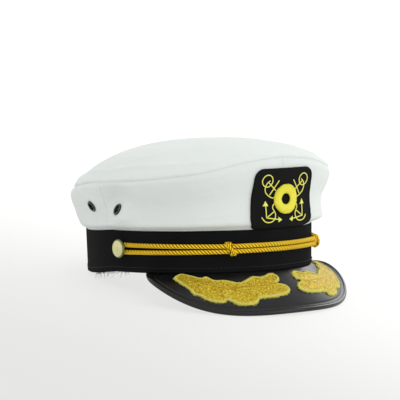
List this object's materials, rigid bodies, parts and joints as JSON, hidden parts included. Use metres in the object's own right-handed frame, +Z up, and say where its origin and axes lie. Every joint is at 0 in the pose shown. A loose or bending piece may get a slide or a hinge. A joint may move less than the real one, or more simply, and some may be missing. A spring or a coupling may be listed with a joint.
{
  "type": "yachting cap",
  "caption": "Yachting cap with a soft white crown, black band, curved black visor with gold leaf sprays, gold cord strap and nautical front badge.",
  "frame": {"origin": "on the surface the cap stands on, under the middle of its bounding box", "axes": "-Y is the front, where the visor is, +X the wearer's left, and +Z up"},
  "size_m": [0.2078, 0.249, 0.1269],
  "materials": {
    "white_cotton": "matt plain-woven cotton, slightly soft",
    "black_twill": "matt black twill",
    "black_vinyl": "satin black vinyl over a stiff board",
    "black_felt": "matt black embroidered ground",
    "gold_thread": "gold metallic embroidery thread",
    "gold_cord": "shiny twisted gold rayon cord",
    "pale_brass": "pale brass-coloured plated button",
    "dark_metal": "dark enamelled eyelet"
  },
  "bodies": {
    "root": {"crown_top": "white_cotton", "crown_quarter_front_right": "white_cotton", "crown_quarter_front_left": "white_cotton", "crown_quarter_back_right": "white_cotton", "crown_quarter_back_left": "white_cotton", "band": "black_twill", "visor": "black_vinyl", "visor_binding": "black_vinyl", "leaf_spray_right": "gold_thread", "leaf_spray_left": "gold_thread", "badge_patch": "black_felt", "badge_ring": "gold_thread", "strap_cord": "gold_cord", "strap_knot_right": "gold_cord", "strap_knot_left": "gold_cord", "button_right": "pale_brass", "button_left": "pale_brass", "eyelet_front_right": "dark_metal", "eyelet_back_right": "dark_metal", "eyelet_front_left": "dark_metal", "eyelet_back_left": "dark_metal"}
  },
  "joints": []
}
